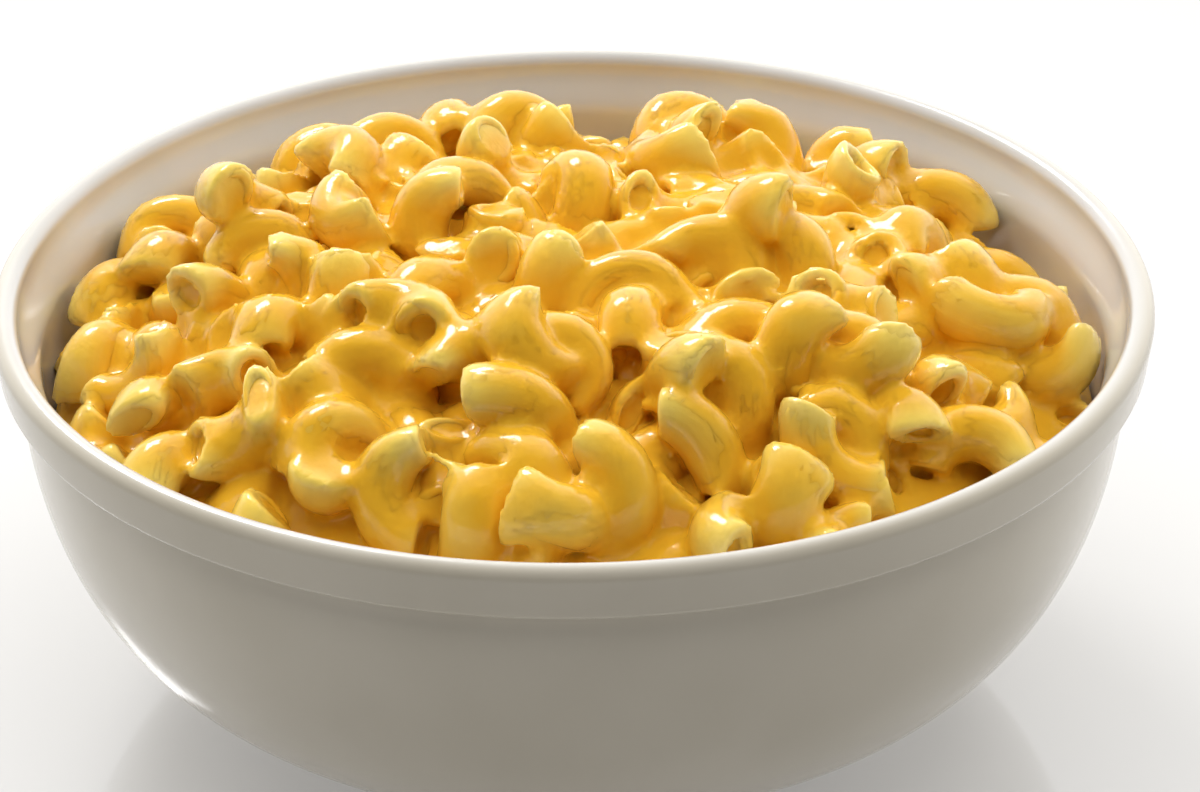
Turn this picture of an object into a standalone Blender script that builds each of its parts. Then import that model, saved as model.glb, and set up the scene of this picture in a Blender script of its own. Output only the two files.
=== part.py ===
"""Macaroni and cheese heaped in a round white bowl. Metres, +Z up.

The origin is the centre of the bowl's foot, on the surface it stands on, and -Y is the front. The bowl is turned
from one closed outline. The heap is one solid: it fills the bowl to 0.3 mm from the wall, and its top is a domed
mound that rises and falls over bent tubes of pasta lying at every angle.
"""

import math
import random

import bpy
from mathutils import Euler, Vector

# Bowl: rim and band
RIM_RADIUS = 0.0825
BOWL_HEIGHT = 0.0640
LIP_THICKNESS = 0.0037
BAND_BOTTOM = BOWL_HEIGHT - 0.0078
BAND_TAPER = 0.0006
BAND_CORNER = 0.0010

# Bowl: body, a superellipse turned about Z, and foot ring
BODY_RADIUS = 0.0791
BODY_TOP = 0.0550
BODY_DEPTH = 0.0515
BODY_POWER = 4.4
WALL_SIDE = 0.0032
WALL_BOTTOM = 0.0035
FOOT_RADIUS = 0.0400
FOOT_WIDTH = 0.0030
FOOT_EDGE = 0.0008
FOOT_RECESS = 0.0030

# Heap
WALL_GAP = 0.0003
CROWN_HEIGHT = 0.0705
EDGE_HEIGHT = 0.0535
MOUND_POWER = 3.2
VALLEY_DEPTH = 0.0032
SMOOTHING = 0.0011
ELBOW_RADIUS = 0.0039
ELBOW_BEND = 0.0062
ELBOW_SWEEP = math.radians(165)
ELBOW_TILT = math.radians(26)
ELBOW_COUNT = 112
ELBOW_SINK = 0.0008
EDGE_PLAY = 0.0014

# Mesh fineness; HEAP_RINGS times 6 is a whole number of times BOWL_SEGMENTS
BOWL_SEGMENTS = 72
HEAP_RINGS = 24


def clear_scene():
    for obj in list(bpy.data.objects):
        bpy.data.objects.remove(obj)


def material(name, colour, roughness):
    made = bpy.data.materials.new(name)
    made.use_nodes = True
    shader = made.node_tree.nodes["Principled BSDF"]
    shader.inputs["Base Color"].default_value = (*colour, 1.0)
    shader.inputs["Roughness"].default_value = roughness
    shader.inputs["Metallic"].default_value = 0.0
    return made


def add_object(name, points, faces, surface):
    mesh = bpy.data.meshes.new(name)
    mesh.from_pydata(points, [], faces)
    mesh.validate()
    mesh.materials.append(surface)
    mesh.shade_smooth()
    mesh.set_sharp_from_angle(angle=math.radians(50))
    obj = bpy.data.objects.new(name, mesh)
    bpy.context.scene.collection.objects.link(obj)
    return obj


def arc(centre, radius, start, end, steps):
    """Points (r, z) along an arc of the outline, from start to end in degrees."""
    angles = [math.radians(start + (end - start) * k / steps) for k in range(steps + 1)]
    return [(centre[0] + radius * math.cos(a), centre[1] + radius * math.sin(a)) for a in angles]


def body_radius(z, radius, depth):
    """Radius of the body's superellipse at height z."""
    fall = min(1.0, max(0.0, (BODY_TOP - z) / depth))
    return radius * (1.0 - fall**2) ** (1.0 / BODY_POWER)


def body_curve(radius, depth, least_radius, steps):
    """Points (r, z) down the superellipse from its widest circle to least_radius."""
    last = math.sqrt(1.0 - (least_radius / radius) ** BODY_POWER)
    falls = [last * math.sin(0.5 * math.pi * k / steps) for k in range(steps + 1)]
    return [(radius * (1.0 - u**2) ** (1.0 / BODY_POWER), BODY_TOP - depth * u) for u in falls]


def inner_radius(z):
    """Radius of the bowl's inside at height z: the body's wall, then a flare out to the lip."""
    if z <= BODY_TOP:
        return body_radius(z, BODY_RADIUS - WALL_SIDE, BODY_DEPTH - WALL_BOTTOM)
    lip_start = BOWL_HEIGHT - 0.5 * LIP_THICKNESS
    t = min(1.0, (z - BODY_TOP) / (lip_start - BODY_TOP))
    flare = RIM_RADIUS - LIP_THICKNESS - (BODY_RADIUS - WALL_SIDE)
    return BODY_RADIUS - WALL_SIDE + flare * t * t * (3.0 - 2.0 * t)


def inside_outline():
    """The outline's points (r, z) down the bowl's inside, from the lip to its flat middle."""
    lip_start = BOWL_HEIGHT - 0.5 * LIP_THICKNESS
    flare_steps = 3
    heights = [lip_start + (BODY_TOP - lip_start) * k / flare_steps for k in range(flare_steps)]
    points = [(inner_radius(z), z) for z in heights]
    return points + body_curve(BODY_RADIUS - WALL_SIDE, BODY_DEPTH - WALL_BOTTOM, 0.018, 7)


def wall_radius(z):
    """Radius of the bowl's inside at height z, measured to the middle of its flat facets."""
    points = inside_outline()
    for (r_high, high), (r_low, low) in zip(points, points[1:]):
        if z >= low:
            share = (z - low) / (high - low)
            return (r_low + (r_high - r_low) * share) * math.cos(math.pi / BOWL_SEGMENTS)
    return points[-1][0]


def bowl_outline():
    """The bowl's closed outline from the axis underneath, up the outside and down the inside to the axis."""
    foot_inner = FOOT_RADIUS - FOOT_WIDTH
    outline = [(0.0, FOOT_RECESS), (foot_inner - FOOT_RECESS * 0.4, FOOT_RECESS)]
    outline += [(foot_inner, FOOT_EDGE * 0.5), (foot_inner + FOOT_EDGE * 0.5, 0.0)]
    outline += arc((FOOT_RADIUS - FOOT_EDGE, FOOT_EDGE), FOOT_EDGE, -90, 0, 2)
    outline += reversed(body_curve(BODY_RADIUS, BODY_DEPTH, FOOT_RADIUS, 8))
    corner = (RIM_RADIUS - BAND_TAPER - BAND_CORNER, BAND_BOTTOM + BAND_CORNER)
    outline += arc(corner, BAND_CORNER, -90, 0, 2)
    lip_radius = 0.5 * LIP_THICKNESS
    outline += arc((RIM_RADIUS - lip_radius, BOWL_HEIGHT - lip_radius), lip_radius, 0, 180, 6)
    outline += inside_outline()[1:]
    outline.append((0.0, BODY_TOP - BODY_DEPTH + WALL_BOTTOM))
    return outline


def turned(name, outline, segments, surface):
    """A closed solid turned about Z from an outline whose two ends lie on the axis."""
    points = [(0.0, 0.0, outline[0][1])]
    for r, z in outline[1:-1]:
        for k in range(segments):
            a = 2.0 * math.pi * k / segments
            points.append((r * math.cos(a), r * math.sin(a), z))
    points.append((0.0, 0.0, outline[-1][1]))
    top = len(points) - 1
    rings = len(outline) - 2
    faces = []
    for k in range(segments):
        n = (k + 1) % segments
        faces.append((0, 1 + n, 1 + k))
        last = 1 + (rings - 1) * segments
        faces.append((top, last + k, last + n))
        for ring in range(rings - 1):
            low = 1 + ring * segments
            high = low + segments
            faces.append((low + k, low + n, high + n, high + k))
    return add_object(name, points, faces, surface)


def mound_height(r):
    """Mean height of the heap's top at distance r from the axis."""
    edge = inner_radius(EDGE_HEIGHT)
    return EDGE_HEIGHT + (CROWN_HEIGHT - EDGE_HEIGHT) * (1.0 - min(1.0, r / edge) ** MOUND_POWER)


def elbow_centres(place, turn):
    """Centres of the balls that a bent tube sweeps through, about the elbow's middle."""
    count = 9
    found = []
    for k in range(count):
        a = ELBOW_SWEEP * (k / (count - 1) - 0.5)
        local = Vector((ELBOW_BEND * (math.cos(a) - 0.6), ELBOW_BEND * math.sin(a), 0.0))
        local.rotate(turn)
        found.append(place + local)
    return found


def heap_balls():
    """The balls of every elbow on the mound, set out in a sunflower pattern with seeded turns."""
    chance = random.Random(11)
    golden = math.pi * (3.0 - math.sqrt(5.0))
    reach = inner_radius(EDGE_HEIGHT) - 0.0085
    balls = []
    for k in range(ELBOW_COUNT):
        r = reach * math.sqrt((k + 0.5) / ELBOW_COUNT)
        a = golden * k
        sink = ELBOW_SINK + chance.uniform(-0.0012, 0.0016)
        place = Vector((r * math.cos(a), r * math.sin(a), mound_height(r) - sink))
        tilts = [chance.uniform(-ELBOW_TILT, ELBOW_TILT) for _ in range(2)]
        turn = Euler((*tilts, chance.uniform(0.0, 2.0 * math.pi)))
        balls += elbow_centres(place, turn)
    return balls


def pasta_height(x, y, balls):
    """Height over (x, y) of the highest pasta there, or of the sauce between."""
    height = mound_height(math.hypot(x, y)) - VALLEY_DEPTH
    for ball in balls:
        apart = (ball.x - x) ** 2 + (ball.y - y) ** 2
        if apart < 1.4 * ELBOW_RADIUS**2:
            height = max(height, ball.z + ELBOW_RADIUS - apart / ELBOW_RADIUS)
    return height


def heap_height(x, y, balls):
    """Height of the heap's uneven top over (x, y): the mean of the pasta's height there and around it."""
    total = pasta_height(x, y, balls)
    around = 6
    for k in range(around):
        a = 2.0 * math.pi * k / around
        total += pasta_height(x + SMOOTHING * math.cos(a), y + SMOOTHING * math.sin(a), balls)
    return total / (around + 1)


def heap_top(balls):
    """Points of the heap's top: the middle, then rings of 6, 12, 18 ... points out to the bowl's wall."""
    edge = inner_radius(EDGE_HEIGHT) - WALL_GAP
    points = [(0.0, 0.0, heap_height(0.0, 0.0, balls))]
    for ring in range(1, HEAP_RINGS + 1):
        for k in range(6 * ring):
            a = 2.0 * math.pi * k / (6 * ring)
            r = edge * ring / HEAP_RINGS
            z = heap_height(r * math.cos(a), r * math.sin(a), balls)
            if ring == HEAP_RINGS:
                z = min(EDGE_HEIGHT + EDGE_PLAY, max(EDGE_HEIGHT - EDGE_PLAY, z))
                r = wall_radius(z) - WALL_GAP
            points.append((r * math.cos(a), r * math.sin(a), z))
    return points


def top_faces():
    """Triangles between the heap's rings, sector by sector."""
    faces = []
    for ring in range(1, HEAP_RINGS + 1):
        outer = 1 + 3 * ring * (ring - 1)
        inner = 1 + 3 * (ring - 1) * (ring - 2)
        outer_count, inner_count = 6 * ring, max(1, 6 * (ring - 1))
        if ring == 1:
            inner = 0
        for sector in range(6):
            for k in range(ring):
                a = outer + (sector * ring + k) % outer_count
                b = outer + (sector * ring + k + 1) % outer_count
                c = inner + (sector * (ring - 1) + k) % inner_count
                faces.append((a, b, c))
                if k < ring - 1:
                    faces.append((c, b, inner + (sector * (ring - 1) + k + 1) % inner_count))
    return faces


def sole_outline():
    """Points (r, z) of the heap's underside: the bowl's inside below the heap's edge, WALL_GAP within it."""
    inside = inside_outline()
    found = []
    for before, here, after in zip(inside, inside[1:], inside[2:] + [(0.0, inside[-1][1])]):
        if here[1] < EDGE_HEIGHT - 2.0 * EDGE_PLAY:
            along = (after[0] - before[0], after[1] - before[1])
            length = math.hypot(*along)
            r = here[0] + WALL_GAP * along[1] / length
            found.append((r, here[1] - WALL_GAP * along[0] / length))
    return found


def heap_sole(first, rim_start):
    """Points and faces of the heap's underside, which follows the bowl's inside down to its flat middle."""
    count = BOWL_SEGMENTS
    outline = sole_outline()
    points, faces = [], []
    for r, z in outline:
        for k in range(count):
            a = 2.0 * math.pi * k / count
            points.append((r * math.cos(a), r * math.sin(a), z))
    points.append((0.0, 0.0, BODY_TOP - BODY_DEPTH + WALL_BOTTOM + WALL_GAP))
    share = 6 * HEAP_RINGS // count
    for k in range(count):
        n = (k + 1) % count
        middle = share // 2
        for step in range(share):
            a = rim_start + k * share + step
            b = rim_start + (k * share + step + 1) % (share * count)
            faces.append((b, a, first + (k if step < middle else n)))
            if step == middle:
                faces.append((a, first + k, first + n))
        for ring in range(len(outline) - 1):
            high = first + ring * count
            low = high + count
            faces.append((high + n, high + k, low + k, low + n))
        last = first + (len(outline) - 1) * count
        faces.append((last + n, last + k, first + len(outline) * count))
    return points, faces


def build_heap(surface):
    points = heap_top(heap_balls())
    faces = top_faces()
    rim_start = 1 + 3 * HEAP_RINGS * (HEAP_RINGS - 1)
    sole_points, sole_faces = heap_sole(len(points), rim_start)
    return add_object("macaroni_heap", points + sole_points, faces + sole_faces, surface)


def main():
    clear_scene()
    glaze = material("glazed_porcelain", (0.80, 0.78, 0.74), 0.18)
    cheese = material("macaroni_and_cheese", (0.86, 0.52, 0.10), 0.35)
    turned("bowl", bowl_outline(), BOWL_SEGMENTS, glaze)
    build_heap(cheese)


main()
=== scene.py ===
import math

import bpy
import numpy as np
import openvdb
from mathutils import Matrix, Vector


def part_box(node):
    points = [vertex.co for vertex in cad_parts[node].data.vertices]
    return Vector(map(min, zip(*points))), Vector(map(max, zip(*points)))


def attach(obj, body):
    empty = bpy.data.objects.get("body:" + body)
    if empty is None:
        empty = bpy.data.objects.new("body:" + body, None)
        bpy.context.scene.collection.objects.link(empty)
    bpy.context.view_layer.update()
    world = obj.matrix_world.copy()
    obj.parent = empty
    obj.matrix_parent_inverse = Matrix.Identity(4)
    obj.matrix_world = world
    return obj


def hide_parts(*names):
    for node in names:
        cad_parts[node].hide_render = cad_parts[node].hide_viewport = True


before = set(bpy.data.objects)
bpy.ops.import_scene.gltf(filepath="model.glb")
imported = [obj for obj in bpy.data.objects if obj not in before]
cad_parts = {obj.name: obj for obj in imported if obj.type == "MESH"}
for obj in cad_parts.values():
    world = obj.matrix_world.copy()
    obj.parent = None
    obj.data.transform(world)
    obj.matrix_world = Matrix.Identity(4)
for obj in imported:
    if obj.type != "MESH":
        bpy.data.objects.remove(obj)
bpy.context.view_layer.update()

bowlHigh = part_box("bowl")[1]
rimRadius = bowlHigh.x  # everything below is worked out from these two
rimHeight = bowlHigh.z
mm = 0.001


def say(text):
    print("[mac and cheese]", text)


def easeIn(t):
    # runs softly from 0 to 1 as t does
    return t * t * (3.0 - 2.0 * t)


def meshObject(name, points, faces, smooth=True):
    mesh = bpy.data.meshes.new(name)
    mesh.from_pydata(np.asarray(points).tolist(), [], faces)
    mesh.validate()
    if smooth:
        mesh.shade_smooth()
    made = bpy.data.objects.new(name, mesh)
    bpy.context.scene.collection.objects.link(made)
    return made


# helpers that every material and node group shares

def addNode(tree, kind, links=(), **settings):
    # makes a node, gives it its settings, and fills its sockets from values or from other sockets
    node = tree.nodes.new(kind)
    for name, value in settings.items():
        setattr(node, name, value)
    for socket, value in dict(links).items():
        if isinstance(value, bpy.types.NodeSocket):
            tree.links.new(value, node.inputs[socket])
        else:
            node.inputs[socket].default_value = value
    return node


def addMath(tree, kind, *values, clamp=False):
    return addNode(tree, "ShaderNodeMath", enumerate(values), operation=kind, use_clamp=clamp).outputs[0]


def addNoise(tree, where, scale, detail=2.0, roughness=0.5):
    links = {"Vector": where, "Scale": scale, "Detail": detail, "Roughness": roughness}
    return addNode(tree, "ShaderNodeTexNoise", links).outputs["Fac"]


def addRamp(tree, value, stops):
    ramp = addNode(tree, "ShaderNodeValToRGB", {"Fac": value})
    line = ramp.color_ramp
    while len(line.elements) < len(stops):
        line.elements.new(0.5)
    for element, (spot, colour) in zip(line.elements, stops):
        element.position = spot
        element.color = (*colour, 1.0)
    return ramp.outputs["Color"]


def newGroup(name, given, made):
    # a node group with named number sockets in, and (name, kind) sockets out
    group = bpy.data.node_groups.new(name, "ShaderNodeTree")
    for label, default in given:
        socket = group.interface.new_socket(label, in_out="INPUT", socket_type="NodeSocketFloat")
        socket.default_value = default
    for label, kind in made:
        group.interface.new_socket(label, in_out="OUTPUT", socket_type="NodeSocket" + kind)
    return group, group.nodes.new("NodeGroupInput").outputs, group.nodes.new("NodeGroupOutput").inputs


def newMaterial(name):
    surface = bpy.data.materials.new(name)
    surface.use_nodes = True
    tree = surface.node_tree
    return surface, tree, tree.nodes["Principled BSDF"]


def setShader(shader, values):
    for socket, value in values.items():
        shader.inputs[socket].default_value = value


cameraSetup = {
    "elevation": 26.55,  # degrees above the table
    "distance": 7.2 * rimRadius,  # from the rim's centre
    "lens": 125.0,
    "yaw": 0.405,  # degrees, turned so that the bowl sits a little left of the middle
    "pitch": 1.636,
    "roll": -0.35,
    "sensor": 36.0,
    "clip": (0.02, 30.0),
}


def makeCamera():
    setup = cameraSetup
    lens = bpy.data.cameras.new("camera")
    lens.lens = setup["lens"]
    lens.sensor_width = setup["sensor"]
    lens.clip_start, lens.clip_end = setup["clip"]
    camera = bpy.data.objects.new("camera", lens)
    bpy.context.scene.collection.objects.link(camera)
    up = math.radians(setup["elevation"])
    place = Vector((0.0, -math.cos(up), math.sin(up))) * setup["distance"]
    down = math.radians(setup["elevation"] + setup["pitch"])
    heading = math.radians(setup["yaw"])
    look = Vector((math.sin(heading) * math.cos(down), math.cos(heading) * math.cos(down), -math.sin(down)))
    turn = look.to_track_quat("-Z", "Y").to_matrix().to_4x4()
    roll = Matrix.Rotation(math.radians(setup["roll"]), 4, "Z")
    camera.matrix_world = Matrix.Translation(place + Vector((0.0, 0.0, rimHeight))) @ turn @ roll
    bpy.context.scene.camera = camera


makeCamera()
say("camera ready")

studio = {
    "aim": (0.0, 0.0, 0.05),
    "topPlace": (-0.03, -0.10, 0.95),
    "topSize": (1.3, 1.1),
    "topPower": 9.0,
    "sidePlace": (1.05, 0.35, 0.42),  # of the right one; the left one mirrors it
    "sideSize": (0.9, 0.8),
    "sidePower": {"leftLight": 4.5, "rightLight": 6.0},
    "keyPlace": (-0.3, 0.75, 0.8),
    "keySize": (0.36, 0.28),  # small, for the crisp glints on wet cheese
    "keyPower": 4.5,
    "skyColour": (1.0, 0.99, 0.975, 1.0),
    "skyFront": 0.05,  # the room is dark in front and a bright soft wall behind
    "skyBack": 1.55,
    "skyFade": (-0.05, 0.95),
    "table": (0.47, 0.465, 0.457),
    "tableReach": 3.0,
    "tableHaze": 9.0,  # noise size, per metre
    "paintedTableGlow": 0.22,  # painted glow: the floor gives off light of its own round the bowl, to lift the shade there
    "glowColour": (1.0, 0.985, 0.965, 1.0),
    "glowReach": (0.17, 0.45),  # where the glow starts to fade, and where it ends
}


def areaLight(name, place, size, power):
    data = bpy.data.lights.new(name, "AREA")
    data.shape = "RECTANGLE"
    data.size, data.size_y = size
    data.energy = power
    lamp = bpy.data.objects.new(name, data)
    bpy.context.scene.collection.objects.link(lamp)
    lamp.location = place
    lamp.rotation_euler = (Vector(studio["aim"]) - Vector(place)).to_track_quat("-Z", "Y").to_euler()
    return lamp


def makeStudio():
    s = studio
    broad = [areaLight("topLight", s["topPlace"], s["topSize"], s["topPower"])]
    across, back, up = s["sidePlace"]
    for side, (name, power) in zip((-1, 1), s["sidePower"].items()):
        broad.append(areaLight(name, (side * across, back, up), s["sideSize"], power))
    for lamp in broad:
        lamp.visible_glossy = False  # they would lay a milky veil over the wet cheese
    areaLight("keyLight", s["keyPlace"], s["keySize"], s["keyPower"])
    world = bpy.data.worlds.new("studio")
    bpy.context.scene.world = world
    world.use_nodes = True
    tree = world.node_tree
    sky = tree.nodes["Background"]
    sky.inputs["Color"].default_value = s["skyColour"]
    heading = addNode(tree, "ShaderNodeTexCoord").outputs["Generated"]
    toBack = addNode(tree, "ShaderNodeSeparateXYZ", {"Vector": heading}).outputs["Y"]
    glow = addNode(tree, "ShaderNodeMapRange", {
        "Value": toBack, "From Min": s["skyFade"][0], "From Max": s["skyFade"][1],
        "To Min": s["skyFront"], "To Max": s["skyBack"],
    }, interpolation_type="SMOOTHSTEP")
    tree.links.new(glow.outputs["Result"], sky.inputs["Strength"])
    bpy.context.scene.view_settings.view_transform = "Standard"


def acrylicMaterial():
    surface, tree, shader = newMaterial("whiteAcrylic")
    where = addNode(tree, "ShaderNodeTexCoord").outputs["Object"]
    haze = addNoise(tree, where, studio["tableHaze"], 3.0)
    rough = addMath(tree, "MULTIPLY_ADD", haze, 0.05, 0.04)
    tree.links.new(rough, shader.inputs["Roughness"])
    # painted glow round the bowl: the floor itself gives off light, fading out further away
    reach = addNode(tree, "ShaderNodeVectorMath", {0: where}, operation="LENGTH").outputs["Value"]
    near, far = studio["glowReach"]
    glow = addNode(tree, "ShaderNodeMapRange", {
        "Value": reach, "From Min": near, "From Max": far, "To Min": studio["paintedTableGlow"], "To Max": 0.0,
    }, interpolation_type="SMOOTHSTEP")
    tree.links.new(glow.outputs["Result"], shader.inputs["Emission Strength"])
    setShader(shader, {
        "IOR": 1.8,
        "Base Color": (*studio["table"], 1.0),
        "Emission Color": studio["glowColour"],
    })
    return surface


def makeTable():
    reach = studio["tableReach"]
    corners = [(-reach, -reach, 0), (reach, -reach, 0), (reach, reach, 0), (-reach, reach, 0)]
    table = meshObject("tableTop", corners, [(0, 1, 2, 3)], smooth=False)
    table.data.materials.append(acrylicMaterial())


makeStudio()
makeTable()
say("studio ready")

bowlSetup = {
    "segments": 192,
    "lip": 3.7 * mm,
    "band": 7.8 * mm,
    "bandTaper": 0.6 * mm,
    "bandCorner": 1.3 * mm,
    "body": 79.1 * mm,
    "bodyTop": 55.0 * mm,
    "bodyDepth": 51.5 * mm,
    "bodyPower": 4.4,
    "wall": 3.2 * mm,
    "floorWall": 3.5 * mm,
    "floorFlat": 6.0 * mm,  # radius of the flat middle of its floor
    "curveSteps": 40,
    "foot": 40.0 * mm,
    "footWidth": 3.0 * mm,
    "footEdge": 0.8 * mm,  # radius of the ring's rounded edges
    "footRecess": 3.0 * mm,
}


def arcPoints(centre, radius, start, end, steps):
    angles = np.radians(np.linspace(start, end, steps + 1))
    return [(centre[0] + radius * math.cos(a), centre[1] + radius * math.sin(a)) for a in angles]


def bodyCurve(radius, depth, leastRadius, steps):
    b = bowlSetup
    last = math.sqrt(1.0 - (leastRadius / radius) ** b["bodyPower"])
    falls = last * np.sin(0.5 * math.pi * np.arange(steps + 1) / steps)
    return [(radius * (1.0 - u * u) ** (1.0 / b["bodyPower"]), b["bodyTop"] - depth * u) for u in falls]


def insideRadius(z):
    # radius of the bowl's inside at height z, for arrays too
    b = bowlSetup
    u = np.clip((b["bodyTop"] - z) / (b["bodyDepth"] - b["floorWall"]), 0.0, 1.0)
    body = (b["body"] - b["wall"]) * (1.0 - u * u) ** (1.0 / b["bodyPower"])
    lipStart = rimHeight - 0.5 * b["lip"]
    t = np.clip((z - b["bodyTop"]) / (lipStart - b["bodyTop"]), 0.0, 1.0)
    flare = rimRadius - b["lip"] - (b["body"] - b["wall"])
    return body + flare * easeIn(t)


def bowlOutline():
    b = bowlSetup
    footInner = b["foot"] - b["footWidth"]
    edge = b["footEdge"]
    line = [(0.0, b["footRecess"])]
    line += [(footInner * k / 8, b["footRecess"]) for k in range(1, 8)]
    line += arcPoints((footInner - edge, b["footRecess"] - edge), edge, 90, 0, 4)
    line += arcPoints((footInner + edge, edge), edge, 180, 270, 4)
    line += arcPoints((b["foot"] - edge, edge), edge, -90, 0, 4)
    line += reversed(bodyCurve(b["body"], b["bodyDepth"], b["foot"], b["curveSteps"])[:-1])
    # the fillet under the band, then its rounded lower edge, side and lip
    bandBottom = rimHeight - b["band"]
    corner = (rimRadius - b["bandTaper"] - b["bandCorner"], bandBottom + b["bandCorner"])
    line.append((b["body"] + 0.15 * mm, bandBottom - 0.35 * mm))
    line.append((b["body"] + 0.55 * mm, bandBottom - 0.02 * mm))
    line += arcPoints(corner, b["bandCorner"], -90, 0, 6)
    lip = 0.5 * b["lip"]
    line += arcPoints((rimRadius - lip, rimHeight - lip), lip, 0, 180, 20)
    lipStart = rimHeight - lip
    heights = np.linspace(lipStart, b["bodyTop"], 9)[1:-1]
    line += [(float(insideRadius(z)), float(z)) for z in heights]
    depth = b["bodyDepth"] - b["floorWall"]
    line += bodyCurve(b["body"] - b["wall"], depth, b["floorFlat"], b["curveSteps"])
    line.append((0.0, b["bodyTop"] - b["bodyDepth"] + b["floorWall"]))
    return line


def turned(name, outline, segments):
    # a closed solid turned about Z; the outline's two ends lie on the axis
    line = np.array(outline, float)
    angles = 2.0 * math.pi * np.arange(segments) / segments
    rings = line[1:-1]
    points = np.empty((len(rings), segments, 3))
    points[:, :, 0] = rings[:, None, 0] * np.cos(angles)
    points[:, :, 1] = rings[:, None, 0] * np.sin(angles)
    points[:, :, 2] = rings[:, None, 1]
    count = len(rings) * segments
    points = np.concatenate([points.reshape(-1, 3), [[0, 0, line[0, 1]], [0, 0, line[-1, 1]]]])
    k = np.arange(segments)
    n = (k + 1) % segments
    faces = []
    for ring in range(len(rings) - 1):
        low, high = ring * segments, (ring + 1) * segments
        faces += np.stack([low + k, low + n, high + n, high + k], 1).tolist()
    last = count - segments
    faces += np.stack([np.full(segments, count), n, k], 1).tolist()
    faces += np.stack([np.full(segments, count + 1), last + k, last + n], 1).tolist()
    return meshObject(name, points, faces)


def mottleGroup():
    # soft patches and fine grain, for glaze and food alike
    given = [("Patch Scale", 60.0), ("Grain Scale", 900.0)]
    made = [("Patches", "Float"), ("Grain", "Float")]
    group, inside, outside = newGroup("softMottle", given, made)
    where = addNode(group, "ShaderNodeTexCoord").outputs["Object"]
    group.links.new(addNoise(group, where, inside["Patch Scale"], 2.0), outside["Patches"])
    group.links.new(addNoise(group, where, inside["Grain Scale"], 3.0, 0.6), outside["Grain"])
    return group


softMottle = mottleGroup()

glazeLook = {
    "light": (0.57, 0.520, 0.425),
    "deep": (0.525, 0.475, 0.378),  # where the glaze pooled a little thicker
    "inner": (1.07, 1.17, 1.42),  # painted light: the inside of the bowl is made whiter, as if lit
    "bare": (0.50, 0.45, 0.37),  # the foot ring, wiped clean before firing
    "bareBelow": 0.7 * mm,
    "patches": 38.0,  # noise sizes, per metre
    "grain": 260.0,
    "turnOver": 50 * mm,  # how far round the lip the painted lighter inside fades out
    "bump": 0.2 * mm,
}


def glazeMaterial():
    look = glazeLook
    surface, tree, shader = newMaterial("whiteGlaze")
    mottle = addNode(tree, "ShaderNodeGroup", node_tree=softMottle)
    mottle.inputs["Patch Scale"].default_value = look["patches"]
    mottle.inputs["Grain Scale"].default_value = look["grain"]
    where = addNode(tree, "ShaderNodeTexCoord").outputs["Object"]
    height = addNode(tree, "ShaderNodeSeparateXYZ", {"Vector": where}).outputs["Z"]
    bare = addMath(tree, "LESS_THAN", height, look["bareBelow"])
    glaze = addRamp(tree, mottle.outputs["Patches"], [(0.3, look["deep"]), (0.7, look["light"])])
    # which way the wall faces, in or out, seen from the bowl's axis
    level = addNode(tree, "ShaderNodeVectorMath", {0: where, 1: (1.0, 1.0, 0.0)}, operation="MULTIPLY")
    normal = addNode(tree, "ShaderNodeNewGeometry").outputs["Normal"]
    facing = addNode(tree, "ShaderNodeVectorMath", {0: level.outputs["Vector"], 1: normal},
                     operation="DOT_PRODUCT").outputs["Value"]
    inward = addNode(tree, "ShaderNodeMapRange", {
        "Value": facing, "From Min": look["turnOver"], "From Max": -look["turnOver"],
    }).outputs["Result"]
    # painted light: the walls that face in are made whiter and bluer
    paintedLightInside = addNode(tree, "ShaderNodeMix", {0: inward, 6: glaze, 7: (*look["inner"], 1.0)},
                     data_type="RGBA", blend_type="MULTIPLY").outputs[2]
    colour = addNode(tree, "ShaderNodeMix", {0: bare, 6: paintedLightInside, 7: (*look["bare"], 1.0)}, data_type="RGBA")
    tree.links.new(colour.outputs[2], shader.inputs["Base Color"])
    rough = addMath(tree, "MULTIPLY_ADD", mottle.outputs["Patches"], 0.05, 0.20)
    unglazed = addMath(tree, "MULTIPLY", bare, 0.75)
    tree.links.new(addMath(tree, "MAXIMUM", rough, unglazed), shader.inputs["Roughness"])
    tree.links.new(addMath(tree, "MULTIPLY_ADD", bare, -0.5, 0.5), shader.inputs["Coat Weight"])
    wave = addNode(tree, "ShaderNodeBump", {
        "Strength": 0.04, "Distance": look["bump"], "Height": mottle.outputs["Grain"],
    })
    tree.links.new(wave.outputs["Normal"], shader.inputs["Normal"])
    setShader(shader, {"Coat Roughness": 0.11, "IOR": 1.5})
    return surface


def makeBowl():
    bowl = turned("porcelainBowl", bowlOutline(), bowlSetup["segments"])
    bowl.data.materials.append(glazeMaterial())
    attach(bowl, "root")
    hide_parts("bowl")


makeBowl()
say("bowl ready")

moundSetup = {
    "crown": rimHeight + 8.6 * mm,  # mean height of the top over the middle
    "edge": rimHeight - 10.5 * mm,  # and where it meets the wall
    "power": 3.1,
    "shell": 19.0 * mm,  # depth of the separate elbows over the core
    "backRise": 1.2 * mm,  # the pile is heaped a little higher at the back
    "backFrom": 8.0 * mm,
    "backTo": 48.0 * mm,
}
pastaSetup = {
    "loose": 268,  # besides those listed
    "tube": 4.2 * mm,
    "hole": 2.1 * mm,
    "bend": (5.2 * mm, 6.6 * mm),
    "sweep": (112.0, 170.0),
    "twist": 1.4 * mm,
    "give": 0.92,  # how closely two soft tubes may press together
    "sunk": 4.0 * mm,  # middle of a listed elbow under the mound's top
    "farLift": 0.8 * mm,
    "tone": 0.05,
    "squeeze": 0.13,
    "pinch": 0.5,  # the most that a cut end is pressed flat
    "slant": 0.26,  # and the steepest slant of its cut
    "around": 16,  # points round a tube
    "rows": 8,  # and rows of them between its two ends
    "seed": 7,
}
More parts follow.
